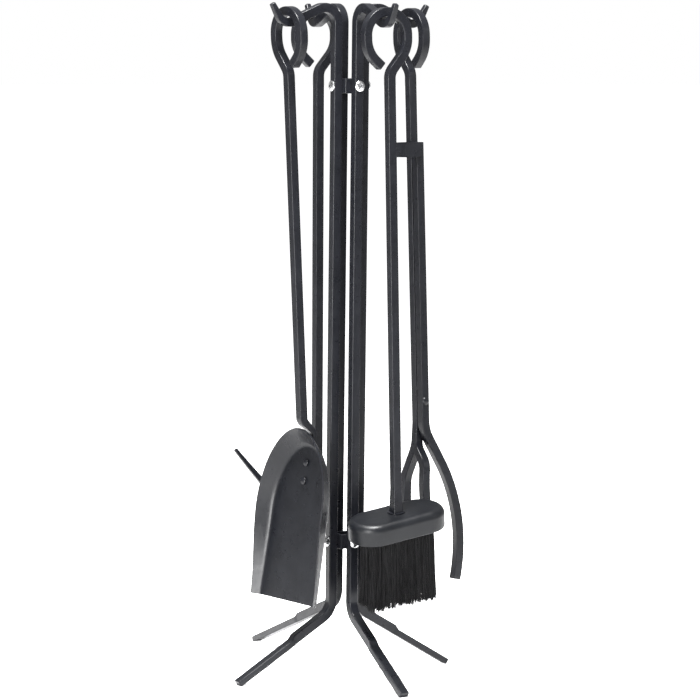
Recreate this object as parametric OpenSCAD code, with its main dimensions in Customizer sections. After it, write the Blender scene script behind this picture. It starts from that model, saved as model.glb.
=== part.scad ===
// Free-standing fireplace tool set: a four-legged bar stand that carries a brush, a shovel, a poker and tongs on hooks.
// Z is up and the floor is z = 0, with the origin under the middle of the set's outline. The brush hangs on -Y of
// the stand's axis, the shovel on -X, the tongs on +X and the poker on +Y.

/* [Stand] */
// Thickness of the square bar of each upright
bar = 10; // [8:0.5:14]
// Radius from the stand axis to the centre of an upright
upright_radius = 16.6; // [14:0.2:24]
// Radius from the stand axis to the tip of a foot
foot_reach = 132; // [110:1:170]
// Slope of a leg below the horizontal, degrees
leg_slope = 31; // [24:1:40]
// Bend radius between a leg and its upright
leg_bend = 22; // [16:1:40]
// Length of the flatter outer part of a leg
leg_flat = 76; // [50:1:90]
// Thickness of the flatter outer part of a leg
leg_flat_thickness = 7; // [5:0.5:9]
// Width of the flatter outer part of a leg
leg_flat_width = 11.4; // [10:0.2:14]
// Radius from the stand axis to the tip of the rear foot, under the poker
rear_foot_reach = 205; // [110:1:220]
// Slope of the rear leg below the horizontal, degrees
rear_leg_slope = 22; // [18:0.5:40]
// Length of the flatter outer part of the rear leg
rear_leg_flat = 110; // [50:1:130]

/* [Hooks] */
// Height of the top of a hook's crest
crest_height = 734.6; // [650:0.1:820]
// Centreline radius of the crest
crest_radius = 16.5; // [14:0.5:24]
// Fall of the hook below the horizontal after the crest, degrees
hook_fall = 24; // [15:1:35]
// Radius from the stand axis to the bottom of the hook's valley
hook_reach = 76; // [66:1:90]
// Centreline radius of the valley
valley_radius = 14; // [12:0.5:20]
// Rise of the hook's tip above the horizontal, degrees
tip_rise = 60; // [50:1:70]
// Length of the straight tip
tip_length = 15; // [10:1:24]
// Thickness of the end of the tip
tip_end = 5.2; // [4:0.2:8]

/* [Spacers and screws] */
// Side of the square spacer between the uprights
spacer_side = 23.2; // [18:0.2:38]
// Height of a spacer
spacer_height = 16; // [10:1:24]
// Wall of a spacer
spacer_wall = 3; // [2:0.5:5]
// Height of the middle of the upper spacer
upper_spacer_height = 646; // [560:1:700]
// Height of the middle of the lower spacer
lower_spacer_height = 150; // [110:1:220]
// Diameter of a screw's shank
screw_shank = 5; // [4:0.5:6]
// Diameter of a screw's pan head
screw_head = 11.4; // [8:0.2:13]
// Height of a screw's pan head
screw_head_height = 3.4; // [2:0.2:5]

/* [Tool handles] */
// Thickness of the square bar of each tool
tool_bar = 9.6; // [8:0.2:12]
// Height of the top of a handle ring's opening when it hangs
ring_rest_height = 720.9; // [640:0.1:800]
// Centreline radius of the top of a ring
ring_radius = 24.5; // [20:0.5:32]
// Centreline radius of the lower sides of a ring
ring_side_radius = 30; // [24:1:40]
// Length of the straight flank of a ring
ring_flank = 4; // [0:0.5:10]
// Length of the straight tail of a ring
ring_tail = 10; // [4:0.5:16]
// Length of the straight part between a ring and the neck
neck_run = 16.2; // [8:0.2:20]
// Angle of the neck from the shaft, degrees
neck_angle = 40; // [30:1:50]
// Centreline radius of the neck's bend
neck_radius = 16; // [12:1:30]

/* [Brush] */
// Length of the brush handle below the top of its ring opening
brush_handle_length = 531; // [440:1:600]
// Width of the handle's flared foot
brush_foot_width = 11.6; // [10:0.2:16]
// Length of the brush block
block_length = 113; // [90:1:140]
// Depth of the brush block
block_depth = 54; // [40:1:70]
// Height of the brush block
block_height = 23; // [14:1:32]
// Radius of the block's upper edge
block_edge = 8; // [4:0.5:12]
// Tilt of the brush head towards the front, degrees
head_pitch = 10; // [0:0.5:12]
// Sideways tilt of the brush head, degrees
head_roll = 7; // [0:0.5:8]
// Length of the bristles
bristle_length = 78; // [50:1:90]
// Length of the bristle field
bristle_span = 78; // [60:1:110]
// Depth of the bristle field
bristle_depth = 30; // [20:1:50]

/* [Shovel] */
// Distance from the top of the ring opening to the top of the pan
pan_drop = 446.5; // [380:1:500]
// Length of the pan
pan_length = 186; // [150:1:230]
// Half width of the pan at its widest
pan_half_width = 63; // [45:0.5:80]
// Half width of the pan at its lip
lip_half_width = 61; // [40:0.5:80]
// Length of the pan's rounded back
pan_arch = 88; // [60:1:110]
// Height of the pan's back and side walls
wall_height = 16.5; // [8:0.5:30]
// Height of the side walls at the lip
lip_wall_height = 9.2; // [3:0.2:16]
// Thickness of the pan's sheet
pan_sheet = 1.6; // [1:0.1:3]
// Angle between the pan and the handle, degrees
pan_kick = 12; // [0:0.5:20]
// Inward joggle of the handle above the pan
pan_joggle = 13; // [0:0.5:24]

/* [Poker] */
// Length of the poker below the top of its ring opening
poker_length = 612; // [520:1:680]
// Length of the poker's tapered point
poker_point = 56; // [30:1:80]
// Distance from the top of the ring opening to the root of the spur
spur_drop = 584; // [500:1:620]
// Horizontal reach of the spur from the shaft
spur_reach = 101; // [60:1:120]
// Rise of the spur's tip above its root
spur_rise = 108; // [50:1:120]

/* [Tongs] */
// Gap between the two bars of the tongs
arm_gap = 1.6; // [0.6:0.1:2]
// Distance from the top of the ring opening to the top of the lever bar
lever_drop = 136; // [110:1:180]
// Distance from the top of the ring opening to the pivot
pivot_drop = 420; // [360:1:460]
// Diameter of the pivot rivet
pivot_shank = 6; // [4:0.5:8]
// Height of the guide loop at the top of the lever bar
loop_height = 16; // [10:1:24]
// Free travel inside the guide loop
loop_free = 13; // [8:1:24]

/* [Hidden] */

$fn = 48;
arc_step = 5;
black = "#232428";
zinc = "#c3c6c9";
stand_axis = [-1.8, -36.4, 0];
side_brush = 0;
side_shovel = -90;
side_tongs = 90;
side_poker = 180;
half_tool = tool_bar / 2;
hole_play = 0.5;
thread_play = 0.1;
over = 1;
joint_lap = 1;
seam = 0.02;
seat_gap = 0.05;

// A path is a list of steps [length, turn]; runs are straight and bends are short chords.
function run(length) = [[length, 0]];
function bend(radius, turn) =
    let (count = ceil(abs(turn) / arc_step))
    [for (i = [1:count]) [2 * radius * sin(abs(turn) / count / 2), turn / count]];
function trace(steps, p, h, s = 0, i = 0) =
    i >= len(steps)
        ? [[p.x, p.y, h, s]]
        : concat(
            [[p.x, p.y, h, s]],
            trace(steps, p + steps[i][0] * [cos(h + steps[i][1] / 2), sin(h + steps[i][1] / 2)],
                h + steps[i][1], s + steps[i][0], i + 1));
function joined(parts) = [for (part = parts) for (step = part) step];
function path_length(steps, i = 0) = i >= len(steps) ? 0 : steps[i][0] + path_length(steps, i + 1);
function last(list) = list[len(list) - 1];
// The two edges of a bar around a path; left and right are tables of offset by distance along it.
function edges(points, left, right) =
    concat(
        [for (q = points) [q[0], q[1]] + lookup(q[3], left) * [-sin(q[2]), cos(q[2])]],
        [for (i = [len(points) - 1:-1:0])
            let (q = points[i]) [q[0], q[1]] - lookup(q[3], right) * [-sin(q[2]), cos(q[2])]]);
function even(value) = [[0, value], [10000, value]];

// A side's frame has x along the tangent, y towards the stand axis and z up.
module at_side(turn) {
    translate(stand_axis)
        rotate([0, 0, turn])
            children();
}

// Draws a plane outline (tangent, height) as a solid of the given width.
module tangent_bar(points, width) {
    rotate([90, 0, 0])
        linear_extrude(height = width, center = true)
            polygon(points);
}

// Draws a plane outline (outwards, height) as a solid of the given width.
module radial_bar(points, width) {
    rotate([90, 0, -90])
        linear_extrude(height = width, center = true)
            polygon(points);
}

// ---- stand ----
foot_lift = 3.5;
leg_ramp = 6;
fall_start = upright_radius + crest_radius * (1 + sin(hook_fall));
fall_run = (hook_reach - valley_radius * sin(hook_fall) - fall_start) / cos(hook_fall);
tip_taper = tip_length + valley_radius * (hook_fall + tip_rise) * PI / 180;
function leg_run(reach, slope) = (reach - upright_radius - leg_bend * (1 - sin(slope))) / cos(slope);
function upright_foot(reach, slope) = foot_lift + leg_run(reach, slope) * sin(slope) + leg_bend * cos(slope);
function upright_steps(reach, slope, flat) =
    joined([
        run(flat),
        run(leg_ramp),
        run(leg_run(reach, slope) - flat - leg_ramp),
        bend(leg_bend, slope - 90),
        run(crest_height - bar / 2 - crest_radius - upright_foot(reach, slope)),
        bend(crest_radius, -(90 + hook_fall)),
        run(fall_run),
        bend(valley_radius, hook_fall + tip_rise),
        run(tip_length)
    ]);
function upright_outline(reach, slope, flat) =
    let (
        steps = upright_steps(reach, slope, flat),
        total = path_length(steps),
        thin = leg_flat_thickness - bar / 2,
        full = bar / 2,
        slender = [[total - tip_taper, full], [total, tip_end / 2]]
    )
    edges(
        trace(steps, [reach, foot_lift], 180 - slope),
        concat([[0, full]], slender),
        concat([[0, thin], [flat, thin], [flat + leg_ramp, full]], slender));
tip_start = hook_reach - valley_radius * sin(hook_fall);
tip_cover = 24;
tip_stop = hook_reach + tip_cover;
half_bar = bar / 2;
half_flat = leg_flat_width / 2;
split_height = 400;

// The width of an upright in plan: a slender hook tip above, a broader leg below.
module upright_widths(reach, slope, flat) {
    step_start = reach - (flat + leg_ramp) * cos(slope);
    step_stop = reach - flat * cos(slope);
    translate([0, 0, split_height])
        rotate([0, 0, -90])
            linear_extrude(height = split_height)
                polygon([
                    [0, -half_bar], [tip_start, -half_bar], [tip_stop, -tip_end / 2],
                    [tip_stop, tip_end / 2], [tip_start, half_bar], [0, half_bar]
                ]);
    rotate([0, 0, -90])
        linear_extrude(height = split_height)
            polygon([
                [0, -half_bar], [step_start, -half_bar], [step_stop, -half_flat],
                [reach + bar, -half_flat], [reach + bar, half_flat],
                [step_stop, half_flat], [step_start, half_bar], [0, half_bar]
            ]);
}

module screw_hole(height, diameter) {
    translate([0, -spacer_side / 2 - bar - over, height])
        rotate([-90, 0, 0])
            cylinder(d = diameter, h = bar + spacer_wall + 2 * over);
}

module upright(turn, reach, slope, flat) {
    color(black)
        at_side(turn)
            difference() {
                intersection() {
                    radial_bar(upright_outline(reach, slope, flat), leg_flat_width + 2);
                    upright_widths(reach, slope, flat);
                }
                screw_hole(upper_spacer_height, screw_shank + hole_play);
                screw_hole(lower_spacer_height, screw_shank + hole_play);
            }
}

module upright_brush() {
    upright(side_brush, foot_reach, leg_slope, leg_flat);
}

module upright_shovel() {
    upright(side_shovel, foot_reach, leg_slope, leg_flat);
}

module upright_poker() {
    upright(side_poker, rear_foot_reach, rear_leg_slope, rear_leg_flat);
}

module upright_tongs() {
    upright(side_tongs, foot_reach, leg_slope, leg_flat);
}

spacer_inside = spacer_side - 2 * spacer_wall;

module spacer(height) {
    color(black)
        difference() {
            at_side(0)
                translate([-spacer_side / 2, -spacer_side / 2, height - spacer_height / 2])
                    cube([spacer_side, spacer_side, spacer_height]);
            at_side(0)
                translate([-spacer_inside / 2, -spacer_inside / 2, height - spacer_height])
                    cube([spacer_inside, spacer_inside, 2 * spacer_height]);
            for (turn = [0:90:270])
                at_side(turn) screw_hole(height, screw_shank + thread_play);
        }
}

module upper_spacer() {
    spacer(upper_spacer_height);
}

module lower_spacer() {
    spacer(lower_spacer_height);
}

screw_end = 0.6;
screw_seat = upright_radius + bar / 2 + seat_gap;
screw_length = screw_seat - spacer_inside / 2 + screw_end;
head_rim = 1.2;
head_cap = screw_head_height - head_rim;
head_sphere = (screw_head * screw_head / 4 + head_cap * head_cap) / (2 * head_cap);
recess_depth = 2;
recess_width = 1.5;
recess_span = 6.4;

module pan_head_screw() {
    translate([0, 0, -screw_length])
        cylinder(d = screw_shank, h = screw_length + over / 2);
    difference() {
        intersection() {
            cylinder(d = screw_head, h = screw_head_height + over);
            translate([0, 0, screw_head_height - head_sphere])
                sphere(r = head_sphere);
        }
        for (turn = [45, 135])
            rotate([0, 0, turn])
                translate([-recess_span / 2, -recess_width / 2, screw_head_height - recess_depth])
                    cube([recess_span, recess_width, screw_head_height]);
    }
}

module screws(height) {
    color(zinc)
        for (turn = [0:90:270])
            at_side(turn)
                translate([0, -screw_seat, height])
                    rotate([90, 0, 0])
                        pan_head_screw();
}

module upper_screws() {
    screws(upper_spacer_height);
}

module lower_screws() {
    screws(lower_spacer_height);
}

// ---- tool handles ----
// The path runs from the ring's tail over its top and down to the neck; a handle's own origin is the top of
// the ring's opening, x to the neck's side.
tail_heading = 138;
ring_steps = joined([
    run(ring_tail),
    bend(ring_side_radius, 90 - tail_heading),
    run(ring_flank),
    bend(ring_radius, -180),
    run(ring_flank),
    bend(ring_side_radius, -neck_angle),
    run(neck_run),
    bend(neck_radius, neck_angle)
]);
tail_steps = joined([run(ring_tail), bend(ring_side_radius, 90 - tail_heading), run(ring_flank)]);
tail_end = last(trace(tail_steps, [0, 0], tail_heading));
ring_start = [-ring_radius - tail_end[0], half_tool - ring_radius - tail_end[1]];
neck_end = last(trace(ring_steps, ring_start, tail_heading));
shaft_x = neck_end[0];
neck_z = neck_end[1];

module handle_bar(length) {
    points = trace(concat(ring_steps, run(length + neck_z + joint_lap)), ring_start, tail_heading);
    tangent_bar(edges(points, even(half_tool), even(half_tool)), tool_bar);
}

// Hangs a tool on its hook: a yaw about the hook, then a sideways and an outward lean of the whole tool.
module hung(side, yaw, lean_side, lean_out) {
    at_side(side)
        translate([0, -hook_reach, ring_rest_height])
            rotate([0, 0, yaw])
                rotate([lean_out, lean_side, 0])
                    children();
}

// ---- brush ----
brush_lean = -1.8;
foot_flare = 26;
foot_depth = 12;
collar_diameter = 19;
collar_height = 1.4;
pocket_play = 0.1;
collar_play = 0.4;

module hung_brush() {
    hung(side_brush, 0, brush_lean, 0) children();
}

module brush_foot(play) {
    wide = brush_foot_width / 2 + play;
    slim = half_tool + play;
    flare = [[-slim, foot_flare], [slim, foot_flare], [wide, 0], [wide, -foot_depth], [-wide, -foot_depth], [-wide, 0]];
    translate([shaft_x, 0, -brush_handle_length])
        intersection() {
            tangent_bar(flare, 2 * brush_foot_width);
            radial_bar(flare, 2 * brush_foot_width);
        }
}

module brush_handle() {
    color(black)
        hung_brush()
            union() {
                handle_bar(brush_handle_length - foot_flare);
                brush_foot(0);
            }
}

// The brush head's own frame: its origin is where the handle meets the block's top.
module head_frame() {
    hung_brush()
        translate([shaft_x, 0, -brush_handle_length])
            rotate([head_pitch, -head_roll, 0])
                children();
}

module brush_collar() {
    color(black)
        difference() {
            head_frame()
                translate([0, 0, seat_gap])
                    cylinder(d = collar_diameter, h = collar_height);
            hung_brush() brush_foot(collar_play);
        }
}

edge_steps = 9;
block_half = block_depth / 2;
block_lip = 1.2;
block_profile = concat(
    [[0, -block_height], [block_half - block_lip, -block_height], [block_half, -block_height + block_lip]],
    [for (i = [0:edge_steps])
        let (a = 90 * i / edge_steps)
        [block_half - block_edge + block_edge * cos(a), -block_edge + block_edge * sin(a)]],
    [[0, 0]]);
block_middle = block_length - block_depth;

module brush_block() {
    color(black)
        difference() {
            head_frame()
                union() {
                    for (turn = [0, 180])
                        rotate([0, 0, turn]) {
                            rotate([90, 0, 90])
                                linear_extrude(height = block_middle, center = true)
                                    polygon(block_profile);
                            translate([block_middle / 2, 0, 0])
                                rotate([0, 0, -90])
                                    rotate_extrude(angle = 180)
                                        polygon(block_profile);
                        }
                }
            hung_brush() brush_foot(pocket_play);
        }
}

bristle_flare = 2;
bristle_slant = 5;
bristle_reach = bristle_length + bristle_slant;

module brush_bristles() {
    span = bristle_span / 2;
    depth = bristle_depth / 2;
    color("#1b1b1d")
        head_frame()
            translate([0, 0, -block_height])
                intersection() {
                    tangent_bar([
                        [-span, 0], [span, 0], [span + bristle_flare, -bristle_reach],
                        [-span - bristle_flare, -bristle_length]
                    ], 2 * bristle_depth);
                    radial_bar([
                        [-depth, 0], [depth, 0], [depth + bristle_flare, -bristle_reach],
                        [-depth - bristle_flare, -bristle_reach]
                    ], 2 * bristle_span);
                }
}

// ---- shovel ----
shovel_yaw = 5;
shovel_lean_side = -1.5;
shovel_lean_out = 2.2;
joggle_bend = 8;
joggle_turn = 44;
joggle_run = (pan_joggle - 2 * joggle_bend * (1 - cos(joggle_turn))) / sin(joggle_turn);
joggle_drop = 2 * joggle_bend * sin(joggle_turn) + joggle_run * cos(joggle_turn);
tongue_length = 66;
tongue_thickness = 5;
tongue_entry = 14;
pan_top_rise = 6;
tongue_start = pan_drop - joggle_drop - tongue_entry + pan_top_rise * cos(pan_kick);
tongue_steps = joined([
    run(tongue_entry),
    bend(joggle_bend, -joggle_turn),
    run(joggle_run),
    bend(joggle_bend, joggle_turn + pan_kick),
    run(tongue_length)
]);
tongue_total = path_length(tongue_steps);
tongue_offsets = [[0, half_tool], [tongue_entry, half_tool],
    [tongue_total - tongue_length, tongue_thickness / 2], [tongue_total, tongue_thickness / 2]];
rivet_rows = [35, 55];
rivet_shank = 5;
rivet_head = 8.6;
rivet_cap = 2;

tongue_points = trace(tongue_steps, [0, -tongue_start], -90);
tongue_tip = last(tongue_points);
tongue_root = [tongue_tip[0] - sin(pan_kick) * tongue_length, tongue_tip[1] + cos(pan_kick) * tongue_length];

// The shovel's neck leans to the other side, so its handle is mirrored.
module hung_shovel() {
    hung(side_shovel, shovel_yaw, shovel_lean_side, shovel_lean_out) children();
}

// The pan's own frame: z up along its length from the top of the pan, y towards the stand.
module pan_frame() {
    hung_shovel()
        translate([-shaft_x, -tongue_root[0], tongue_root[1]])
            rotate([-pan_kick, 0, 0])
                translate([0, 0, pan_top_rise])
                    children();
}

module rivet_drill(diameter, from, to) {
    for (row = rivet_rows)
        translate([0, from, -row])
            rotate([-90, 0, 0])
                cylinder(d = diameter, h = to - from);
}

module shovel_handle() {
    color(black)
        difference() {
            hung_shovel()
                union() {
                    mirror([1, 0, 0]) handle_bar(tongue_start);
                    translate([-shaft_x, 0, 0])
                        radial_bar(edges(tongue_points, tongue_offsets, tongue_offsets), tool_bar);
                }
            pan_frame() rivet_drill(rivet_shank + thread_play, -half_tool - over, half_tool + over);
        }
}

// The pan's face: v runs down from the top of the arch, t from -1 to 1 across.
arch_rows = 16;
straight_rows = 10;
across = 24;
pan_rows = arch_rows + straight_rows;
arch_limit = 87;
floor_share = 0.79;
lip_floor_share = 0.834;
wall_blend = 0.35;
back_gap = 0.1;
function blend_wall(x) =
    x <= 0 ? 0 : (x < wall_blend ? x * x / (2 * wall_blend) : x - wall_blend / 2) / (1 - wall_blend / 2);
function row_angle(row) = row < arch_rows ? arch_limit * (1 - row / arch_rows) : 0;
function row_share(row) = row < arch_rows ? 0 : (row - arch_rows) / straight_rows;
function mixed(a, b, share) = a + (b - a) * share;
function pan_point(row, t) =
    let (
        angle = row_angle(row),
        share = row_share(row),
        half = mixed(pan_half_width, lip_half_width, share) * cos(angle),
        v = row < arch_rows ? pan_arch * (1 - sin(angle)) : mixed(pan_arch, pan_length, share),
        q = sqrt(t * t * cos(angle) * cos(angle) + sin(angle) * sin(angle)),
        floor_q = mixed(floor_share, lip_floor_share, share),
        rise = mixed(wall_height, lip_wall_height, share * share * (3 - 2 * share)) * blend_wall((q - floor_q) / (1 - floor_q))
    )
    [half * t, -rise, -v];
function pan_normal(row, t) =
    let (
        near = 0.02,
        along = pan_point(min(row + near, pan_rows), t) - pan_point(max(row - near, 0), t),
        side = pan_point(row, min(t + near, 1)) - pan_point(row, max(t - near, -1)),
        n = cross(along, side)
    )
    n / norm(n);
function column_t(column) = 2 * column / across - 1;
pan_width_points = across + 1;
pan_count = (pan_rows + 1) * pan_width_points;
pan_face = [for (row = [0:pan_rows]) for (column = [0:across]) pan_point(row, column_t(column))];
pan_back = [for (row = [0:pan_rows]) for (column = [0:across])
    pan_point(row, column_t(column)) + pan_sheet * pan_normal(row, column_t(column))];
function pan_index(row, column) = row * pan_width_points + column;
pan_front_faces = [for (row = [0:pan_rows - 1]) for (column = [0:across - 1])
    let (a = pan_index(row, column), b = pan_index(row + 1, column))
    each [[a, a + 1, b], [a + 1, b + 1, b]]];
pan_back_faces = [for (face = pan_front_faces) [face[2], face[1], face[0]] + [1, 1, 1] * pan_count];
function strip(a, b) = [[b, a, a + pan_count], [b, a + pan_count, b + pan_count]];
pan_top_strip = [for (column = [0:across - 1]) each strip(column, column + 1)];
pan_lip_strip = [for (column = [0:across - 1])
    each strip(pan_index(pan_rows, column + 1), pan_index(pan_rows, column))];
pan_left_strip = [for (row = [0:pan_rows - 1]) each strip(pan_index(row + 1, 0), pan_index(row, 0))];
pan_right_strip = [for (row = [0:pan_rows - 1]) each strip(pan_index(row, across), pan_index(row + 1, across))];

module shovel_pan() {
    face_offset = -tongue_thickness / 2 - back_gap;
    color(black)
        difference() {
            pan_frame()
                translate([0, face_offset, 0])
                    polyhedron(
                        points = concat(pan_face, pan_back),
                        faces = concat(pan_front_faces, pan_back_faces, pan_top_strip, pan_lip_strip,
                            pan_left_strip, pan_right_strip),
                        convexity = 6);
            pan_frame() rivet_drill(rivet_shank + thread_play, -tool_bar - over, 0);
        }
}

rivet_sphere = (rivet_head * rivet_head / 4 + rivet_cap * rivet_cap) / (2 * rivet_cap);

module dome(head, cap, sphere_radius) {
    intersection() {
        cylinder(d = head, h = cap + over);
        translate([0, 0, cap - sphere_radius]) sphere(r = sphere_radius);
    }
}

module shovel_rivets() {
    front = tongue_thickness / 2 + back_gap + pan_sheet + seat_gap;
    rear = tongue_thickness / 2 + seat_gap;
    color(black)
        pan_frame()
            for (row = rivet_rows)
                translate([0, 0, -row]) {
                    translate([0, rear + over / 2, 0])
                        rotate([90, 0, 0])
                            cylinder(d = rivet_shank, h = front + rear + over);
                    translate([0, -front, 0])
                        rotate([90, 0, 0])
                            dome(rivet_head, rivet_cap, rivet_sphere);
                    translate([0, rear, 0])
                        rotate([-90, 0, 0])
                            dome(rivet_head, rivet_cap, rivet_sphere);
                }
}

// ---- poker ----
poker_lean = 0.4;
point_end = 2.4;
spur_root = 11.4;
spur_end = 4;
spur_curve = 3;
spur_swell = 0.3;
spur_cover = 20;

module hung_poker() {
    hung(side_poker, 0, poker_lean, 0) children();
}

poker_shaft_end = poker_length - poker_point;
poker_points = [
    [-shaft_x - half_tool, -poker_shaft_end], [-shaft_x - point_end / 2, -poker_length],
    [-shaft_x + point_end / 2, -poker_length], [-shaft_x + half_tool, -poker_shaft_end]
];
poker_side_points = [
    [-half_tool, -poker_shaft_end], [-point_end / 2, -poker_length],
    [point_end / 2, -poker_length], [half_tool, -poker_shaft_end]
];

module poker_bar() {
    color(black)
        hung_poker()
            union() {
                mirror([1, 0, 0]) handle_bar(poker_shaft_end);
                intersection() {
                    tangent_bar(poker_points, 2 * tool_bar);
                    radial_bar(poker_side_points, 8 * tool_bar);
                }
            }
}

// The spur leaves the shaft sideways and sweeps up to a blunt point.
spur_angle = atan2(spur_rise, spur_reach);
spur_total = norm([spur_reach, spur_rise]);
spur_first = spur_angle - spur_curve;
spur_last = spur_angle + spur_curve;
spur_sweep = spur_total / (2 * sin(spur_curve));
spur_steps = concat(run(joint_lap), bend(spur_sweep, spur_last - spur_first));

module poker_spur() {
    points = trace(spur_steps, [-shaft_x, -spur_drop], spur_first);
    total = path_length(spur_steps);
    tapered = [[0, spur_root / 2], [total * spur_swell, half_tool - seat_gap], [total, spur_end / 2]];
    far = spur_reach + spur_cover;
    color(black)
        hung_poker()
            difference() {
                intersection() {
                    tangent_bar(edges(points, tapered, tapered), tool_bar);
                    translate([-shaft_x, 0, -spur_drop - spur_cover])
                        linear_extrude(height = spur_rise + 3 * spur_cover)
                            polygon([
                                [-spur_cover, -half_tool], [spur_cover, -half_tool],
                                [far, -spur_end / 2], [far, spur_end / 2],
                                [spur_cover, half_tool], [-spur_cover, half_tool]
                            ]);
                }
                translate([-shaft_x + half_tool + seam - far, -spur_cover, -spur_drop - spur_cover])
                    cube([far, 2 * spur_cover, spur_rise + 3 * spur_cover]);
            }
}

// ---- tongs ----
tongs_yaw = 3.4;
tongs_lean_side = 1.9;
tongs_lean_out = -1.1;
arm_pitch = tool_bar + arm_gap;
lever_x = shaft_x - arm_pitch;
claw_bend_drop = pivot_drop + 22;
fork_drop = 464;
fork_turn = 5;
fork_bend = 60;
fork_off = 2.6;
splay = 17.6;
near_splay = [18, 45];
far_splay = [30, 27];
function splay_run(shape) = (splay - 2 * shape[0] * (1 - cos(shape[1]))) / sin(shape[1]);
function splay_drop(shape) = 2 * shape[0] * sin(shape[1]) + splay_run(shape) * cos(shape[1]);
prong_curve = 200;
prong_turn = 20;
fork_lead = 40;
washer_play = 0.1;
pivot_head = 9;
pivot_cap = 2.2;
pivot_sphere = (pivot_head * pivot_head / 4 + pivot_cap * pivot_cap) / (2 * pivot_cap);

module hung_tongs() {
    hung(side_tongs, tongs_yaw, tongs_lean_side, tongs_lean_out) children();
}

main_start = pivot_drop - fork_lead;
main_steps = joined([
    run(claw_bend_drop - main_start),
    bend(fork_bend, -fork_turn),
    run(fork_drop - claw_bend_drop - fork_bend * sin(fork_turn))
]);
main_points = trace(main_steps, [0, -main_start], -90);
fork_point = last(main_points);

// The spread of a prong in the frame of the fork's root; dir is the side it spreads to, shape its bends.
module prong_spread(dir, shape, half, width) {
    spread = joined([
        run(joint_lap),
        bend(shape[0], dir * shape[1]),
        run(splay_run(shape)),
        bend(shape[0], -dir * shape[1]),
        run(joint_lap)
    ]);
    tangent_bar(edges(trace(spread, [0, joint_lap], -90), even(half), even(half)), width);
}

module prong(dir, shape) {
    bow = joined([run(joint_lap), bend(prong_curve, prong_turn)]);
    prong_spread(dir, shape, half_tool - seat_gap, tool_bar - 2 * seat_gap);
    translate([dir * splay, 0, 0])
        radial_bar(
            edges(trace(bow, [0, -splay_drop(shape)], -90), even(half_tool), even(half_tool)),
            tool_bar);
}

module fork_frame() {
    hung_tongs()
        translate([shaft_x, -fork_point[0], fork_point[1]])
            rotate([fork_turn, 0, 0])
                children();
}

module pivot_hole(diameter, from, to) {
    translate([from, 0, -pivot_drop])
        rotate([0, 90, 0])
            cylinder(d = diameter, h = to - from);
}

module tongs_main_bar() {
    color(black)
        difference() {
            union() {
                hung_tongs() handle_bar(main_start);
                hung_tongs()
                    translate([shaft_x, 0, 0])
                        radial_bar(edges(main_points, even(half_tool), even(half_tool)), tool_bar);
                fork_frame() prong(1, far_splay);
            }
            hung_tongs() pivot_hole(pivot_shank + thread_play, lever_x, shaft_x + tool_bar);
        }
}

// The second prong is scarfed against the first one's side.
module tongs_side_prong() {
    color(black)
        difference() {
            fork_frame() prong(-1, near_splay);
            fork_frame() prong_spread(1, far_splay, half_tool - seat_gap + seam, 2 * tool_bar);
        }
}

claw_bend = 40;
claw_turn = 29;
claw_run = 32;
claw_sweep = 180;
claw_return = 42;
claw_tail = 5;
lever_steps = joined([
    run(claw_bend_drop - lever_drop),
    bend(claw_bend, claw_turn),
    run(claw_run),
    bend(claw_sweep, -claw_return),
    run(claw_tail)
]);

module tongs_lever_bar() {
    points = trace(lever_steps, [0, -lever_drop], -90);
    color(black)
        hung_tongs()
            difference() {
                translate([lever_x, 0, 0])
                    radial_bar(edges(points, even(half_tool), even(half_tool)), tool_bar);
                pivot_hole(pivot_shank + thread_play, lever_x - tool_bar, shaft_x);
            }
}

// A strap fixed to the lever bar's face that reaches round the main bar.
strap = 3;
loop_play = 0.6;
loop_face = lever_x - half_tool - seam;
loop_back = shaft_x + half_tool + loop_play;
loop_inner = half_tool + loop_free;
loop_round = 5;
loop_lap = 1;

module loop_cheek(x, outer) {
    translate([x, 0, -lever_drop - loop_height]) {
        translate([0, outer + loop_round, 0])
            cube([strap, loop_inner - outer - loop_round + strap, loop_height]);
        translate([0, outer, loop_round])
            cube([strap, loop_round + over, loop_height - 2 * loop_round]);
        for (z = [loop_round, loop_height - loop_round])
            translate([0, outer + loop_round, z])
                rotate([0, 90, 0])
                    cylinder(r = loop_round, h = strap);
    }
}

module tongs_guide_loop() {
    color(black)
        hung_tongs()
            union() {
                loop_cheek(loop_face - strap, loop_lap);
                loop_cheek(loop_back, -half_tool);
                translate([loop_face - strap, loop_inner, -lever_drop - loop_height])
                    cube([loop_back + strap - loop_face + strap, strap, loop_height]);
            }
}

module tongs_pivot_rivet() {
    color(black)
        hung_tongs()
            translate([0, 0, -pivot_drop]) {
                translate([lever_x - half_tool - washer_play - over / 2, 0, 0])
                    rotate([0, 90, 0])
                        cylinder(d = pivot_shank, h = arm_pitch + tool_bar + 2 * washer_play + over);
                translate([lever_x - half_tool - washer_play, 0, 0])
                    rotate([0, -90, 0])
                        dome(pivot_head, pivot_cap, pivot_sphere);
                translate([shaft_x + half_tool + washer_play, 0, 0])
                    rotate([0, 90, 0])
                        dome(pivot_head, pivot_cap, pivot_sphere);
            }
}

upright_brush();
upright_shovel();
upright_poker();
upright_tongs();
upper_spacer();
lower_spacer();
upper_screws();
lower_screws();
brush_handle();
brush_collar();
brush_block();
brush_bristles();
shovel_handle();
shovel_pan();
shovel_rivets();
poker_bar();
poker_spur();
tongs_main_bar();
tongs_side_prong();
tongs_lever_bar();
tongs_guide_loop();
tongs_pivot_rivet();
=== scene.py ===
"""Looks for the fireplace tool set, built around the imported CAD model.

Lengths in the shape code are millimetres; cameras, lights and the frame are in metres.
"""
import math
import random

import bpy
import numpy as np
from mathutils import Matrix, Vector


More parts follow.
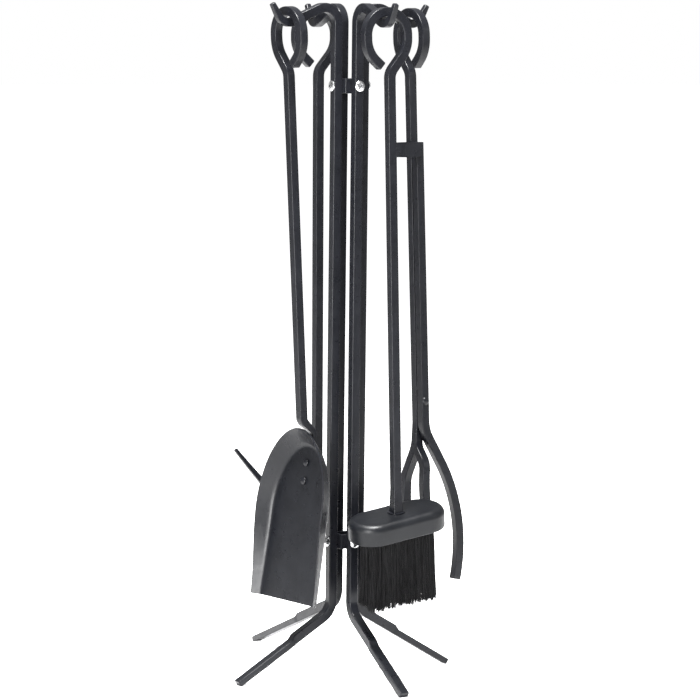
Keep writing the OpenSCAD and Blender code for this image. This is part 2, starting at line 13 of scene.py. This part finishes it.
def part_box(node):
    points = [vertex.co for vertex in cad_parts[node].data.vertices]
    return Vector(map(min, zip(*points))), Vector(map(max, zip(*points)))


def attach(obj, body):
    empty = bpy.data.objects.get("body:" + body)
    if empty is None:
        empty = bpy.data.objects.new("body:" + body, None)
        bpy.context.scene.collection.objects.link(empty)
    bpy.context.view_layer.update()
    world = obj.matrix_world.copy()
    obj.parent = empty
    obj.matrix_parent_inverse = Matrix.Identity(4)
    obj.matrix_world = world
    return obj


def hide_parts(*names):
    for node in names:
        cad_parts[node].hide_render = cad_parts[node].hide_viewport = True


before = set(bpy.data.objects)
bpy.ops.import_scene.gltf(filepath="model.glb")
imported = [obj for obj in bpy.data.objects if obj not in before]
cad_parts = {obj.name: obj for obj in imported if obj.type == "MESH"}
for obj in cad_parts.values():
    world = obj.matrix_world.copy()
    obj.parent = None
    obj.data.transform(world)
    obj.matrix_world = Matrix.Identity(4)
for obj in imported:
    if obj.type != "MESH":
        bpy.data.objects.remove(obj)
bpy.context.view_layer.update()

MM = 0.001
scene = bpy.context.scene
spacer_low, spacer_high = map(Vector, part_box("upper_spacer"))
SPACER_CENTRE = (spacer_low + spacer_high) / 2
AXIS = Vector((SPACER_CENTRE.x, SPACER_CENTRE.y, 0))


# ---- camera, floor and light ----

def make_camera():
    azimuth, yaw = math.radians(-29.762), math.radians(-0.061)
    pitch, roll = math.radians(6.088), math.radians(0.629)
    distance, height, focal_px, frame_px = 3263.41 * MM, 707.357 * MM, 3012.18, 700
    place = Vector((math.sin(azimuth) * distance, -math.cos(azimuth) * distance, height))
    turn = azimuth + yaw
    ahead = Vector((-math.sin(turn) * math.cos(pitch), math.cos(turn) * math.cos(pitch), -math.sin(pitch)))
    right = Vector((math.cos(turn), math.sin(turn), 0))
    up = right.cross(ahead)
    right_r = right * math.cos(roll) + up * math.sin(roll)
    up_r = up * math.cos(roll) - right * math.sin(roll)
    data = bpy.data.cameras.new("camera")
    data.sensor_fit = "HORIZONTAL"
    data.sensor_width = 36
    data.lens = focal_px / frame_px * data.sensor_width
    data.clip_end = 60
    cam = bpy.data.objects.new("camera", data)
    m = Matrix((right_r, up_r, -ahead)).transposed().to_4x4()
    m.translation = place + AXIS
    cam.matrix_world = m
    scene.collection.objects.link(cam)
    scene.camera = cam


def area_light(name, place, aim, size, power, colour=(1, 1, 1)):
    data = bpy.data.lights.new(name, "AREA")
    data.shape = "RECTANGLE"
    data.size, data.size_y = size
    data.energy = power
    data.color = colour
    lamp = bpy.data.objects.new(name, data)
    lamp.location = Vector(place) + AXIS
    lamp.rotation_euler = (Vector(aim) - Vector(place)).to_track_quat("-Z", "Y").to_euler()
    scene.collection.objects.link(lamp)


def seen_strength(tree, socket, others, camera):
    """One strength for what the camera sees and a dimmer one for what the pieces reflect."""
    rays, mix = tree.nodes.new("ShaderNodeLightPath"), tree.nodes.new("ShaderNodeMapRange")
    mix.inputs["To Min"].default_value = others
    mix.inputs["To Max"].default_value = camera
    tree.links.new(rays.outputs["Is Camera Ray"], mix.inputs["Value"])
    tree.links.new(mix.outputs["Result"], socket)


def make_stage():
    world = bpy.data.worlds.new("studio")
    scene.world = world
    world.use_nodes = True
    back = world.node_tree.nodes["Background"]
    back.inputs["Color"].default_value = (1, 1, 1, 1)
    seen_strength(world.node_tree, back.inputs["Strength"], 0.45, 1.0)
    area_light("top_soft", (-0.3, -0.4, 2.1), (0, 0, 0.35), (0.6, 0.6), 185)
    area_light("left_soft", (-1.55, -1.3, 0.5), (0, 0, 0.25), (0.7, 0.9), 75)
    area_light("right_soft", (1.6, -1.6, 1.2), (0, 0, 0.4), (0.4, 1.2), 6)
    size = 30
    mesh = bpy.data.meshes.new("floor")
    corners = [(-size, -size, 0), (size, -size, 0), (size, size, 0), (-size, size, 0)]
    mesh.from_pydata(corners, [], [(0, 1, 2, 3)])
    floor = bpy.data.objects.new("floor", mesh)
    floor.location.z = -0.0002
    scene.collection.objects.link(floor)
    mat = bpy.data.materials.new("floor_white")
    mat.use_nodes = True
    shader = mat.node_tree.nodes["Principled BSDF"]
    shader.inputs["Base Color"].default_value = (0.93, 0.93, 0.935, 1)
    shader.inputs["Roughness"].default_value = 0.8
    shader.inputs["Specular IOR Level"].default_value = 0.1
    shader.inputs["Emission Color"].default_value = (1, 1, 1, 1)
    seen_strength(mat.node_tree, shader.inputs["Emission Strength"], 0.03, 0.7)
    mesh.materials.append(mat)
    scene.view_settings.view_transform = "Standard"


# ---- materials ----

class Nodes:
    """A short way to lay out a material's nodes."""

    def __init__(self, name):
        self.mat = bpy.data.materials.new(name)
        self.mat.use_nodes = True
        self.tree = self.mat.node_tree
        self.shader = self.tree.nodes["Principled BSDF"]
        self.coords = self.add("ShaderNodeTexCoord").outputs["Object"]

    def add(self, kind, **values):
        node = self.tree.nodes.new(kind)
        for key, value in values.items():
            setattr(node, key, value)
        return node

    def join(self, source, target):
        self.tree.links.new(source, target)

    def scaled(self, scale):
        node = self.add("ShaderNodeMapping")
        node.inputs["Scale"].default_value = scale
        self.join(self.coords, node.inputs["Vector"])
        return node.outputs["Vector"]

    def noise(self, scale, detail=3, rough=0.5, vector=None):
        node = self.add("ShaderNodeTexNoise")
        node.inputs["Scale"].default_value = scale
        node.inputs["Detail"].default_value = detail
        node.inputs["Roughness"].default_value = rough
        self.join(vector or self.coords, node.inputs["Vector"])
        return node.outputs["Fac"]

    def ramp(self, value, low, high, start=0.3, stop=0.7):
        node = self.add("ShaderNodeValToRGB")
        for element, position, colour in zip(node.color_ramp.elements, (start, stop), (low, high)):
            element.position = position
            element.color = (*colour, 1)
        self.join(value, node.inputs["Fac"])
        return node.outputs["Color"]

    def spread(self, value, low, high, start=0.3, stop=0.7):
        node = self.add("ShaderNodeMapRange")
        for key, number in (("From Min", start), ("From Max", stop), ("To Min", low), ("To Max", high)):
            node.inputs[key].default_value = number
        self.join(value, node.inputs["Value"])
        return node.outputs["Result"]

    def bump(self, value, strength, distance, below=None):
        node = self.add("ShaderNodeBump")
        node.inputs["Strength"].default_value = strength
        node.inputs["Distance"].default_value = distance
        self.join(value, node.inputs["Height"])
        if below is not None:
            self.join(below, node.inputs["Normal"])
        return node.outputs["Normal"]

    def finish(self, colour, rough, normal, **fixed):
        self.join(colour, self.shader.inputs["Base Color"])
        self.join(rough, self.shader.inputs["Roughness"])
        self.join(normal, self.shader.inputs["Normal"])
        for key, value in fixed.items():
            self.shader.inputs[key.replace("_", " ")].default_value = value
        return self.mat


def powder_coat(name, low, high, rough, grain=0.35):
    """Satin black coating: a fine orange peel over faint forging waves, with duller and shinier patches."""
    n = Nodes(name)
    patches = n.noise(38, 4, 0.6)
    peel = n.noise(950, 2, 0.5)
    dust = n.noise(2600, 1, 0.5)
    waves = n.noise(70, 2, 0.5)
    colour = n.ramp(patches, low, high)
    gloss = n.spread(n.noise(120, 4, 0.65), rough[0], rough[1])
    normal = n.bump(waves, 0.12, 0.0012)
    normal = n.bump(peel, grain, 0.00012, normal)
    normal = n.bump(dust, grain * 0.5, 0.00005, normal)
    return n.finish(colour, gloss, normal, Specular_IOR_Level=0.2)


def zinc(name):
    """Bright zinc plate with faint turning marks and a slightly warm and cool mottle."""
    n = Nodes(name)
    colour = n.ramp(n.noise(600, 3), (0.42, 0.425, 0.435), (0.62, 0.62, 0.62))
    rough = n.spread(n.noise(900, 3), 0.2, 0.34)
    normal = n.bump(n.noise(1500, 2), 0.15, 0.00006)
    return n.finish(colour, rough, normal, Metallic=1.0)


def block_paint(name):
    """Satin black paint over fine-grained wood: long low ripples and a soft sheen."""
    n = Nodes(name)
    grain = n.noise(26, 4, 0.6, n.scaled((1, 7, 7)))
    colour = n.ramp(n.noise(34, 3), (0.003, 0.0034, 0.0043), (0.005, 0.0055, 0.0068))
    rough = n.spread(n.noise(90, 4, 0.6), 0.33, 0.44)
    normal = n.bump(grain, 0.1, 0.0005)
    normal = n.bump(n.noise(1300, 2), 0.25, 0.00008, normal)
    return n.finish(colour, rough, normal, Specular_IOR_Level=0.2)


def fibre(name):
    """Black bristle fibre: streaked along its length in colour and gloss."""
    n = Nodes(name)
    streak = n.noise(900, 2, 0.5, n.scaled((1, 1, 0.04)))
    colour = n.ramp(streak, (0.0015, 0.0015, 0.0018), (0.009, 0.009, 0.0095), 0.35, 0.75)
    rough = n.spread(streak, 0.42, 0.62)
    normal = n.bump(n.noise(2400, 1, 0.5, n.scaled((1, 1, 0.1))), 0.2, 0.00005)
    return n.finish(colour, rough, normal, Specular_IOR_Level=0.12)


COAT = powder_coat("black_coat", (0.0038, 0.0041, 0.0055), (0.0065, 0.0069, 0.0088), (0.25, 0.36))
SHEET = powder_coat("black_sheet_coat", (0.0035, 0.0038, 0.005), (0.006, 0.0064, 0.008), (0.26, 0.34), 0.2)
ZINC = zinc("zinc_plate")
PAINT = block_paint("block_paint")
FIBRE = fibre("bristle_fibre")


# ---- mesh helpers ----

def add_piece(name, verts, faces, material, body, slot, *nodes, smooth=True):
    mesh = bpy.data.meshes.new(name)
    mesh.from_pydata([tuple(c * MM for c in v) for v in verts], [], faces)
    mesh.materials.append(material)
    mesh.validate()
    mesh.update()
    if smooth:
        mesh.polygons.foreach_set("use_smooth", [True] * len(mesh.polygons))
    piece = bpy.data.objects.new(name, mesh)
    scene.collection.objects.link(piece)
    if smooth:
        mod = piece.modifiers.new("even_shade", "WEIGHTED_NORMAL")
        mod.keep_sharp = True
        mod.weight = 90
    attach(piece, body)
    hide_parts(*nodes)
    return piece


def rings_to_faces(count, size, closed_ends=True):
    faces = []
    for i in range(count - 1):
        for j in range(size):
            a, b = i * size + j, i * size + (j + 1) % size
            faces.append((a, b, b + size, a + size))
    if closed_ends:
        faces.append(tuple(range(size - 1, -1, -1)))
        faces.append(tuple(range((count - 1) * size, count * size)))
    return faces


CORNER_STEPS = 4


def section(place, a, b, sizes, corner):
    """A rounded rectangle: sizes are how far it reaches along +a, -a, +b and -b."""
    ring = []
    plus_a, minus_a, plus_b, minus_b = sizes
    quads = ((plus_a, plus_b, 0), (minus_a, plus_b, 90), (minus_a, minus_b, 180), (plus_a, minus_b, 270))
    for reach_a, reach_b, start in quads:
        c = min(corner, reach_a * 0.7, reach_b * 0.7)
        for k in range(CORNER_STEPS + 1):
            angle = math.radians(start + 90 * k / CORNER_STEPS)
            sa, sb = math.cos(angle), math.sin(angle)
            side_a = 1 if start in (0, 270) else -1
            side_b = 1 if start in (0, 90) else -1
            ring.append(place + a * (side_a * (reach_a - c) + c * sa) + b * (side_b * (reach_b - c) + c * sb))
    return ring


class Path:
    """A bar's path: it runs straight or bends about its own two section axes a and b."""

    def __init__(self, place, ahead, a, b):
        self.place, self.ahead = Vector(place), Vector(ahead)
        self.a, self.b, self.s = Vector(a), Vector(b), 0.0
        self.points = [self.state()]

    def state(self):
        return self.place.copy(), self.ahead.copy(), self.a.copy(), self.b.copy(), self.s

    def run(self, length, pieces=1):
        for _ in range(pieces):
            self.place = self.place + self.ahead * (length / pieces)
            self.s += length / pieces
            self.points.append(self.state())
        return self

    def bend(self, radius, turn, toward="a", fine=2.5):
        count = max(1, math.ceil(abs(turn) / fine))
        step = math.radians(turn / count)
        chord = 2 * radius * math.sin(abs(step) / 2)
        for _ in range(count):
            side = self.a if toward == "a" else self.b
            half = self.ahead * math.cos(step / 2) + side * math.sin(step / 2)
            self.place = self.place + half * chord
            self.s += chord
            ahead = self.ahead * math.cos(step) + side * math.sin(step)
            side = side * math.cos(step) - self.ahead * math.sin(step)
            self.ahead = ahead
            if toward == "a":
                self.a = side
            else:
                self.b = side
            self.points.append(self.state())
        return self


def sweep(path, sizes, corner=1.0, chamfer=0.6):
    """Rings of a bar along a path; sizes(s, place) gives the section's four reaches."""
    rings = []
    last = len(path.points) - 1
    for i, (place, ahead, a, b, s) in enumerate(path.points):
        reach = sizes(s, place)
        if i in (0, last):
            inward = ahead * (chamfer if i == 0 else -chamfer)
            small = [r - chamfer for r in reach]
            pair = [(place, small), (place + inward, reach)]
            for p, r in pair if i == 0 else pair[::-1]:
                rings.append(section(p, a, b, r, corner))
        else:
            rings.append(section(place, a, b, reach, corner))
    return rings


def rings_mesh(rings, transform, floor=False):
    size = len(rings[0])
    verts = [transform @ p for ring in rings for p in ring]
    if floor:
        verts = [Vector((p.x, p.y, max(p.z, 0))) for p in verts]
    return verts, rings_to_faces(len(rings), size)


def turned(axis, degrees):
    return Matrix.Rotation(math.radians(degrees), 4, axis)


def moved(x, y, z):
    return Matrix.Translation(Vector((x, y, z)))


def sin(degrees):
    return math.sin(math.radians(degrees))


def cos(degrees):
    return math.cos(math.radians(degrees))


def at_stand(side):
    return Matrix.Translation(AXIS / MM) @ turned("Z", side)


def table(pairs):
    xs, ys = zip(*pairs)
    return lambda x: float(np.interp(x, xs, ys))


# ---- the stand ----

BAR = 10.0
HALF = BAR / 2
FLAT_HALF = 5.7
SIDE = {"brush": 0, "shovel": -90, "tongs": 90, "poker": 180}


def upright(name):
    reach, slope, flat = (205, 22, 110) if name == "poker" else (132, 31, 76)
    bend_r, ramp, foot_lift, centre = 22, 6, 3.5, 16.6
    crest_r, fall, valley_r, rise, tip = 16.5, 24, 14, 60, 15
    hook_reach, crest_height, tip_end = 76, 734.6, 5.2
    leg = (reach - centre - bend_r * (1 - sin(slope))) / cos(slope)
    knee = foot_lift + leg * sin(slope) + bend_r * cos(slope)
    fall_start = centre + crest_r * (1 + sin(fall))
    fall_run = (hook_reach - valley_r * sin(fall) - fall_start) / cos(fall)
    # In this frame the bar bends about a: +a is the leg's lower side and the hook's outer side.
    path = Path((0, -reach, foot_lift), (0, cos(slope), sin(slope)), (0, sin(slope), -cos(slope)), (1, 0, 0))
    path.run(flat - 3, 6).run(3).run(ramp * 0.3).run(ramp * 0.4).run(ramp * 0.3)
    path.run(leg - flat - ramp).bend(bend_r, slope - 90)
    path.run(crest_height - HALF - crest_r - knee, 8)
    path.bend(crest_r, -(90 + fall)).run(fall_run).bend(valley_r, fall + rise).run(tip, 3)
    total = path.s
    taper = tip + valley_r * math.radians(fall + rise)
    low = table([(0, HALF), (total - taper, HALF), (total, tip_end / 2)])
    top = table([(0, 2), (flat, 2), (flat + ramp * 0.35, 2.9), (flat + ramp, HALF),
                 (total - taper, HALF), (total, tip_end / 2)])
    step_stop, step_start = reach - flat * cos(slope), reach - (flat + ramp) * cos(slope)
    leg_width = table([(0, HALF), (step_start, HALF), (step_stop, FLAT_HALF), (reach + 20, FLAT_HALF)])
    tip_start = hook_reach - valley_r * sin(fall)
    tip_width = table([(0, HALF), (tip_start, HALF), (hook_reach + 24, tip_end / 2)])

    def sizes(s, place):
        half = tip_width(-place.y) if place.z > 400 else leg_width(-place.y)
        return low(s), top(s), half, half

    verts, faces = rings_mesh(sweep(path, sizes, 1.1, 0.5), at_stand(SIDE[name]), floor=True)
    add_piece("bar_" + name, verts, faces, COAT, "stand", "black_bar", "upright_" + name)


# ---- tool handles ----

TOOL_HALF = 4.8
HOOK_REACH, REST = 76, 720.9
TAIL = 138
LEAN = {"brush": (0, -1.8, 0), "shovel": (5, -1.5, 2.2), "poker": (0, 0.4, 0), "tongs": (3.4, 1.9, -1.1)}


def hung(name):
    yaw, side, out = LEAN[name]
    lean = turned("Z", yaw) @ turned("Y", side) @ turned("X", out)
    return at_stand(SIDE[name]) @ moved(0, -HOOK_REACH, REST) @ lean


def ring_path(mirrored=False):
    """The ring and neck; it ends at the top of the shaft, heading straight down, a to +x and b outwards."""
    flip = -1 if mirrored else 1
    crown_radius, side_radius, neck_turn = 24.5, 30, 40

    def steps(path):
        path.run(10, 2).bend(side_radius, flip * (90 - TAIL)).run(4)
        foot = path.place.copy()
        path.bend(crown_radius, flip * -180).run(4).bend(side_radius, flip * -neck_turn)
        path.run(16.2).bend(16, flip * neck_turn)
        return foot

    ahead = (flip * cos(TAIL), 0, sin(TAIL))
    a = (-sin(TAIL), 0, flip * cos(TAIL))
    trial = Path((0, 0, 0), ahead, a, (0, -1, 0))
    foot = steps(trial)
    start = (flip * -crown_radius - foot.x, 0, TOOL_HALF - crown_radius - foot.z)
    path = Path(start, ahead, a, (0, -1, 0))
    steps(path)
    return path


def down_to(path, z, pieces=1):
    """Runs straight down until the path is z below the ring's opening."""
    return path.run(path.place.z + z, pieces)


def square(half):
    return lambda s, place: (half,) * 4


SHAFT = ring_path().place.x


BRUSH_DROP = 531


def brush():
    swell_above, swell_half, into_block = 26, 5.8, 11
    path = down_to(ring_path(), BRUSH_DROP - swell_above, 8)
    start = path.s
    down_to(path, BRUSH_DROP, 2).run(into_block)
    swell_end = start + swell_above
    half = table([(0, TOOL_HALF), (start, TOOL_HALF), (swell_end, swell_half), (start + 99, swell_half)])
    verts, faces = rings_mesh(sweep(path, lambda s, p: (half(s),) * 4), hung("brush"))
    add_piece("brush_bar", verts, faces, COAT, "brush", "black_bar", "brush_handle")


HEAD = hung("brush") @ moved(SHAFT, 0, -BRUSH_DROP) @ turned("Y", -7) @ turned("X", 10)
BLOCK_LENGTH, BLOCK_DEPTH, BLOCK_HEIGHT, BLOCK_EDGE = 113, 54, 23, 8


def block():
    half, straight = BLOCK_DEPTH / 2, (BLOCK_LENGTH - BLOCK_DEPTH) / 2
    rows = [(1.6, -BLOCK_HEIGHT), (0.5, -BLOCK_HEIGHT + 0.4), (0, -BLOCK_HEIGHT + 1.4)]
    rows += [(0, -BLOCK_EDGE - 4), (0, -BLOCK_EDGE)]
    rows += [(BLOCK_EDGE * (1 - math.cos(math.radians(a))), -BLOCK_EDGE * (1 - math.sin(math.radians(a))))
             for a in range(9, 91, 9)]
    rows += [(BLOCK_EDGE + 3, 0)]
    rings = []
    for inset, z in rows:
        ring = []
        for end, start in ((1, -90), (-1, 90)):
            for k in range(37):
                angle = math.radians(start + 5 * k)
                r = half - inset
                ring.append(Vector((end * straight + r * math.cos(angle), r * math.sin(angle), z)))
        rings.append(ring)
    verts, faces = rings_mesh(rings, HEAD)
    add_piece("brush_back", verts, faces, PAINT, "brush", "block_black", "brush_block")


def bristles():
    """Tufts of separate tapering fibres round a dark core."""
    rng = random.Random(7)
    span, depth, top = 78 / 2 - 0.6, 30 / 2 - 0.6, -BLOCK_HEIGHT + 0.5
    verts, faces = [], []
    columns, rows = 22, 8
    for i in range(columns):
        for j in range(rows):
            cx = -span + (i + 0.5) * 2 * span / columns + rng.uniform(-0.5, 0.5)
            cy = -depth + (j + 0.5) * 2 * depth / rows + rng.uniform(-0.4, 0.4)
            edge = j in (0, rows - 1) or i in (0, columns - 1)
            drift = (rng.uniform(-0.7, 0.7), rng.uniform(-0.6, 0.6))
            tuft_length = rng.uniform(-2.2, 1.0)
            for _ in range(52 if edge else 10):
                angle, r = rng.uniform(0, 2 * math.pi), 2.1 * math.sqrt(rng.random())
                root = Vector((cx + r * math.cos(angle), cy + r * math.sin(angle), top))
                share = (root.x + span) / (2 * span)
                length = 80 + 4 * share + tuft_length + rng.gauss(0, 1.1) - abs(rng.gauss(0, 1.2))
                lean = Vector((
                    root.x / span * (1.5 if root.x > 0 else 4.5) + drift[0]
                    + rng.gauss(0, 0.7) - 0.35 * (root.x - cx),
                    root.y / depth * 1.3 + drift[1] + rng.gauss(0, 0.6) - 0.35 * (root.y - cy), 0))
                wave = Vector((rng.gauss(0, 0.35), rng.gauss(0, 0.35), 0))
                width = rng.uniform(0.26, 0.36)
                base = len(verts)
                steps = 5
                for k in range(steps + 1):
                    t = k / steps
                    centre = root + lean * t * t + wave * math.sin(t * math.pi * 1.5)
                    centre = centre + Vector((0, 0, -length * t))
                    thin = width * (1 - 0.45 * t * t)
                    for c in range(3):
                        turn = 2 * math.pi * c / 3 + angle
                        side = Vector((thin * math.cos(turn), thin * math.sin(turn), 0))
                        verts.append(HEAD @ (centre + side))
                for k in range(steps):
                    for c in range(3):
                        a, b = base + 3 * k + c, base + 3 * k + (c + 1) % 3
                        faces.append((a, b, b + 3, a + 3))
                faces.append((base + 2, base + 1, base))
                faces.append((base + 3 * steps, base + 3 * steps + 1, base + 3 * steps + 2))
    add_piece("brush_fibres", verts, faces, FIBRE, "brush", "bristle_black", "brush_bristles")
    core = []
    for z, grow in ((top, -2.4), (-60, -1.8), (-86, -3.5)):
        x, y = span + grow, depth + grow
        core.append([Vector(p) for p in ((x, y, z), (-x, y, z), (-x, -y, z), (x, -y, z))])
    verts, faces = rings_mesh(core, HEAD)
    faces = [tuple(reversed(f)) for f in faces]
    add_piece("brush_fibre_core", verts, faces, FIBRE, "brush", "bristle_black", "brush_bristles",
              smooth=False)


# ---- the shovel ----

KICK, PAN_DROP, PAN_LENGTH, PAN_ARCH = 12, 446.5, 186, 88
PAN_HALF, LIP_HALF, WALL, LIP_WALL, SHEET_MM = 63, 61, 16.5, 9.2, 1.6


TONGUE_HALF, BACK_GAP = 2.5, 0.1


def shovel():
    joggle, radius, turn, rise, entry = 13, 8, 44, 6, 14
    tongue_length = 66
    rad = math.radians(turn)
    run = (joggle - 2 * radius * (1 - math.cos(rad))) / math.sin(rad)
    drop = 2 * radius * math.sin(rad) + run * math.cos(rad)
    path = down_to(ring_path(True), PAN_DROP - drop - entry + rise * math.cos(math.radians(KICK)), 8)
    path.run(entry)
    joggle_start = path.s
    path.bend(radius, -turn, "b").run(run).bend(radius, turn + KICK, "b")
    start = path.s
    place, ahead, a, b, _ = path.state()
    path.run(tongue_length, 4)
    thin = table([(0, TOOL_HALF), (joggle_start, TOOL_HALF), (start, TONGUE_HALF), (start + 80, TONGUE_HALF)])
    verts, faces = rings_mesh(
        sweep(path, lambda s, p: (TOOL_HALF, TOOL_HALF, thin(s), thin(s))), hung("shovel"))
    add_piece("shovel_bar", verts, faces, COAT, "shovel", "black_bar", "shovel_handle")
    m = Matrix((a, -b, -ahead)).transposed().to_4x4()
    m.translation = place - ahead * rise
    pan(hung("shovel") @ m @ moved(0, -TONGUE_HALF - BACK_GAP, 0))


def blend_wall(x):
    soft = 0.35
    if x <= 0:
        return 0.0
    return (x * x / (2 * soft) if x < soft else x - soft / 2) / (1 - soft / 2)


def pan_point(v, t):
    """v runs 0 to 1 down the arch and 1 to 2 down the straight part; t from -1 to 1 across."""
    angle = math.radians(87 * (1 - v)) if v < 1 else 0.0
    share = max(0.0, v - 1)
    half = (PAN_HALF + (LIP_HALF - PAN_HALF) * share) * math.cos(angle)
    down = PAN_ARCH * (1 - math.sin(angle)) if v < 1 else PAN_ARCH + (PAN_LENGTH - PAN_ARCH) * share
    q = math.sqrt((t * math.cos(angle)) ** 2 + math.sin(angle) ** 2)
    floor_q = 0.79 + (0.834 - 0.79) * share
    wall = WALL + (LIP_WALL - WALL) * share * share * (3 - 2 * share)
    return Vector((half * t, -wall * blend_wall((q - floor_q) / (1 - floor_q)), -down))


def pan(transform):
    rows, across = 84, 72
    face, back = [], []
    for i in range(rows + 1):
        v = 2 * i / rows
        for j in range(across + 1):
            t = math.sin((2 * j / across - 1) * math.pi / 2)
            p = pan_point(v, t)
            e = 0.01
            along = pan_point(min(v + e, 2), t) - pan_point(max(v - e, 0), t)
            side = pan_point(v, min(t + e, 1)) - pan_point(v, max(t - e, -1))
            n = along.cross(side).normalized()
            face.append(p)
            back.append(p - n * SHEET_MM)
    width = across + 1
    count = len(face)
    loop = [j for j in range(width)]
    loop += [i * width + across for i in range(1, rows + 1)]
    loop += [rows * width + j for j in range(across - 1, -1, -1)]
    loop += [i * width for i in range(rows - 1, 0, -1)]
    verts = face + back
    faces = []
    for i in range(rows):
        for j in range(across):
            a = i * width + j
            faces.append((a + width, a + width + 1, a + 1, a))
            faces.append((count + a, count + a + 1, count + a + width + 1, count + a + width))
    n_loop = len(loop)
    for k in range(n_loop):
        a, b = loop[k], loop[(k + 1) % n_loop]
        faces.append((count + b, count + a, a, b))
    verts = [transform @ p for p in verts]
    piece = add_piece("shovel_sheet", verts, faces, SHEET, "shovel", "black_sheet", "shovel_pan")
    bevel = piece.modifiers.new("soft_rim", "BEVEL")
    bevel.width = 0.55 * MM
    bevel.segments = 3
    bevel.limit_method = "ANGLE"
    bevel.angle_limit = math.radians(50)
    piece.modifiers.move(1, 0)


# ---- the poker ----

def poker():
    length, point = 612, 56
    path = down_to(ring_path(True), length - point, 8)
    start = path.s
    path.run(point, 4)
    half = table([(0, TOOL_HALF), (start, TOOL_HALF), (start + point, 1.2)])
    verts, faces = rings_mesh(sweep(path, lambda s, p: (half(s),) * 4, chamfer=0.4), hung("poker"))
    add_piece("poker_shaft", verts, faces, COAT, "poker", "black_bar", "poker_bar")
    reach, rise, curve = 101, 108, 3
    heading = math.degrees(math.atan2(rise, reach)) - curve
    h = math.radians(heading)
    path = Path((-SHAFT, 0, -584), (math.cos(h), 0, math.sin(h)), (-math.sin(h), 0, math.cos(h)), (0, -1, 0))
    path.run(1.5).run(1)
    path.points = path.points[1:]
    path.bend(math.hypot(reach, rise) / (2 * math.sin(math.radians(curve))), 2 * curve, fine=0.4)
    total = path.s
    thick = table([(0, 5.6), (total * 0.3, 4.7), (total, 2)])
    wide = table([(0, 4.7), (20, 4.7), (total, 2)])
    verts, faces = rings_mesh(
        sweep(path, lambda s, p: (thick(s), thick(s), wide(s), wide(s)), chamfer=0.4), hung("poker"))
    add_piece("poker_side_spur", verts, faces, COAT, "poker", "black_bar", "poker_spur")


# ---- the tongs ----

SPLAY = 17.6
NEAR, FAR = (18, 45), (30, 27)


def prong(path, side, shape):
    radius, turn = shape
    rad = math.radians(turn)
    run = (SPLAY - 2 * radius * (1 - math.cos(rad))) / math.sin(rad)
    path.bend(radius, side * turn).run(run).bend(radius, -side * turn)
    return path.bend(200, 20, "b", 1.5)


def tongs():
    place = hung("tongs")
    claw_drop, fork_drop = 442, 464
    path = down_to(ring_path(), claw_drop, 10).bend(60, -5, "b")
    path.run(fork_drop - claw_drop - 60 * math.sin(math.radians(5)))
    root, ahead, a, b, _ = path.state()
    prong(path, 1, FAR)
    verts, faces = rings_mesh(sweep(path, square(TOOL_HALF)), place)
    add_piece("tongs_ring_bar", verts, faces, COAT, "tongs", "black_bar", "tongs_main_bar")
    second = prong(Path(root, ahead, a, b), -1, NEAR)
    verts, faces = rings_mesh(sweep(second, square(TOOL_HALF - 0.08)), place)
    add_piece("tongs_second_prong", verts, faces, COAT, "tongs", "black_bar", "tongs_side_prong")
    lever = Path((SHAFT - 11.2, 0, -136), (0, 0, -1), (1, 0, 0), (0, -1, 0))
    lever.run(claw_drop - 136, 6).bend(40, 29, "b").run(32).bend(180, -42, "b", 1.5).run(5)
    verts, faces = rings_mesh(sweep(lever, square(TOOL_HALF)), place)
    add_piece("tongs_lever", verts, faces, COAT, "tongs_lever", "black_bar", "tongs_lever_bar")


# ---- CAD nodes that stay ----

def finish_node(name, material, width, angle=35):
    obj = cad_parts[name]
    obj.data.materials.clear()
    obj.data.materials.append(material)
    weld = obj.modifiers.new("weld", "WELD")
    weld.merge_threshold = 0.00001
    bevel = obj.modifiers.new("soft_edges", "BEVEL")
    bevel.width = width * MM
    bevel.segments = 3
    bevel.limit_method = "ANGLE"
    bevel.angle_limit = math.radians(angle)


make_camera()
make_stage()
for side_name in SIDE:
    upright(side_name)
brush()
block()
bristles()
shovel()
poker()
tongs()
EDGE_WIDTHS = (("upper_spacer", 0.9), ("lower_spacer", 0.9), ("tongs_guide_loop", 0.7),
               ("brush_collar", 0.3), ("shovel_rivets", 0.25), ("tongs_pivot_rivet", 0.25))
for node, width in EDGE_WIDTHS:
    finish_node(node, COAT, width)
for node in ("upper_screws", "lower_screws"):
    finish_node(node, ZINC, 0.2)
